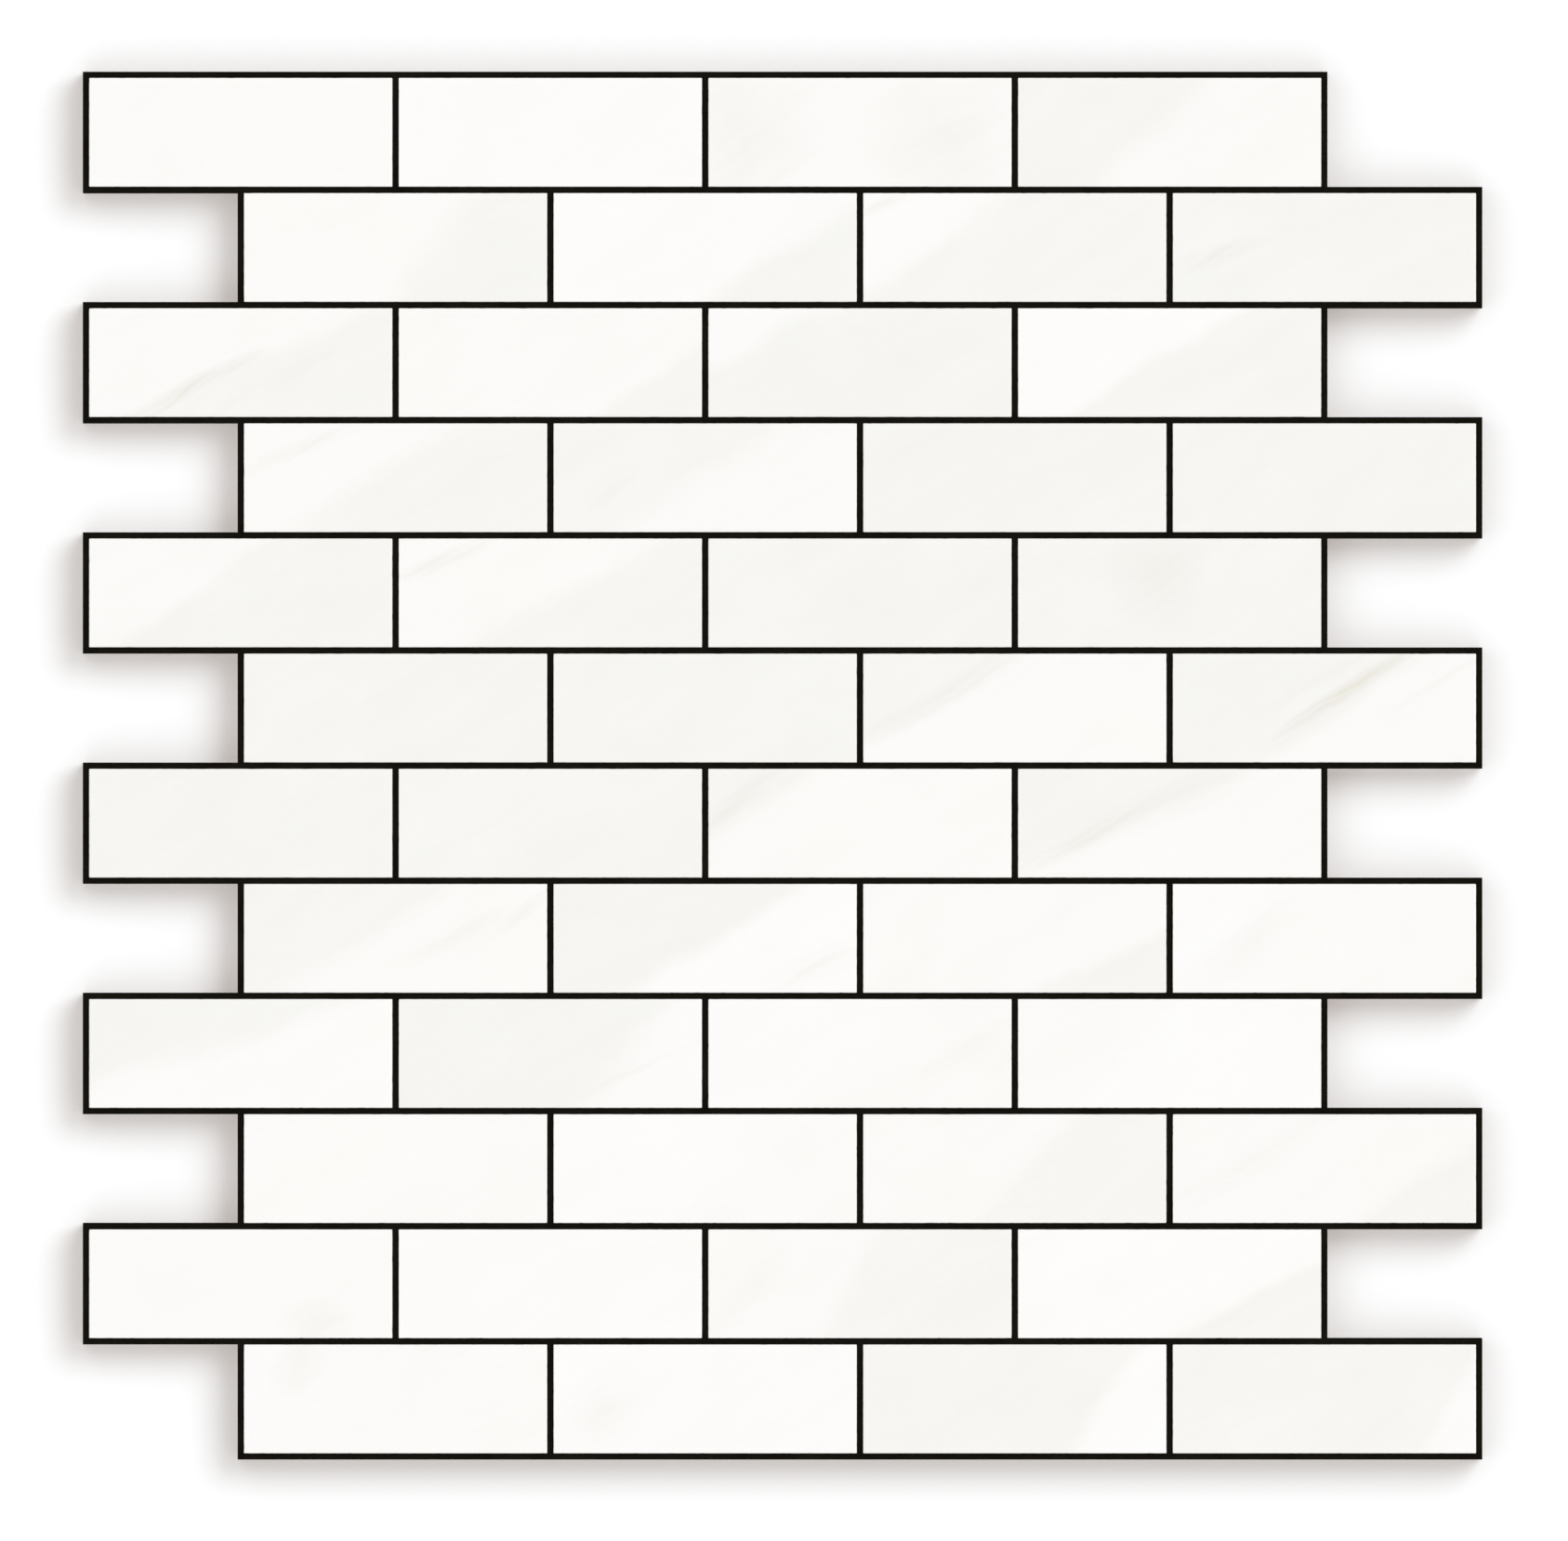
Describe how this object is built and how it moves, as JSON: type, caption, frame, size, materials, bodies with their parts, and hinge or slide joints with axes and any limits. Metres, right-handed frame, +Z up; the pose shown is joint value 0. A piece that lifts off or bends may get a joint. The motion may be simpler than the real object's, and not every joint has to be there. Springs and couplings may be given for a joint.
{
  "type": "stone mosaic tile",
  "caption": "Mosaic sheet of pale marble chips in staggered rows, with thin black joints, stepped sides that interlock with the next sheet, and a mesh back for bonding to a floor or wall.",
  "frame": {"origin": "centre of the sheet's footprint, on the underside of the mesh backing", "axes": "+X along the rows of chips and to the right in the picture, +Y up the sheet towards the first row, +Z up out of the honed face"},
  "size_m": [0.3008, 0.2984, 0.0089],
  "materials": {
    "white_marble": "honed white marble with faint grey diagonal veins",
    "black_filler": "matte black joint filler",
    "glass_fibre": "matte glass-fibre mesh with adhesive"
  },
  "bodies": {
    "root": {"mesh_backing": "glass_fibre", "joint_filler": "black_filler", "marble_chip_01_1": "white_marble", "marble_chip_01_2": "white_marble", "marble_chip_01_3": "white_marble", "marble_chip_01_4": "white_marble", "marble_chip_02_1": "white_marble", "marble_chip_02_2": "white_marble", "marble_chip_02_3": "white_marble", "marble_chip_02_4": "white_marble", "marble_chip_03_1": "white_marble", "marble_chip_03_2": "white_marble", "marble_chip_03_3": "white_marble", "marble_chip_03_4": "white_marble", "marble_chip_04_1": "white_marble", "marble_chip_04_2": "white_marble", "marble_chip_04_3": "white_marble", "marble_chip_04_4": "white_marble", "marble_chip_05_1": "white_marble", "marble_chip_05_2": "white_marble", "marble_chip_05_3": "white_marble", "marble_chip_05_4": "white_marble", "marble_chip_06_1": "white_marble", "marble_chip_06_2": "white_marble", "marble_chip_06_3": "white_marble", "marble_chip_06_4": "white_marble", "marble_chip_07_1": "white_marble", "marble_chip_07_2": "white_marble", "marble_chip_07_3": "white_marble", "marble_chip_07_4": "white_marble", "marble_chip_08_1": "white_marble", "marble_chip_08_2": "white_marble", "marble_chip_08_3": "white_marble", "marble_chip_08_4": "white_marble", "marble_chip_09_1": "white_marble", "marble_chip_09_2": "white_marble", "marble_chip_09_3": "white_marble", "marble_chip_09_4": "white_marble", "marble_chip_10_1": "white_marble", "marble_chip_10_2": "white_marble", "marble_chip_10_3": "white_marble", "marble_chip_10_4": "white_marble", "marble_chip_11_1": "white_marble", "marble_chip_11_2": "white_marble", "marble_chip_11_3": "white_marble", "marble_chip_11_4": "white_marble", "marble_chip_12_1": "white_marble", "marble_chip_12_2": "white_marble", "marble_chip_12_3": "white_marble", "marble_chip_12_4": "white_marble"}
  },
  "joints": []
}
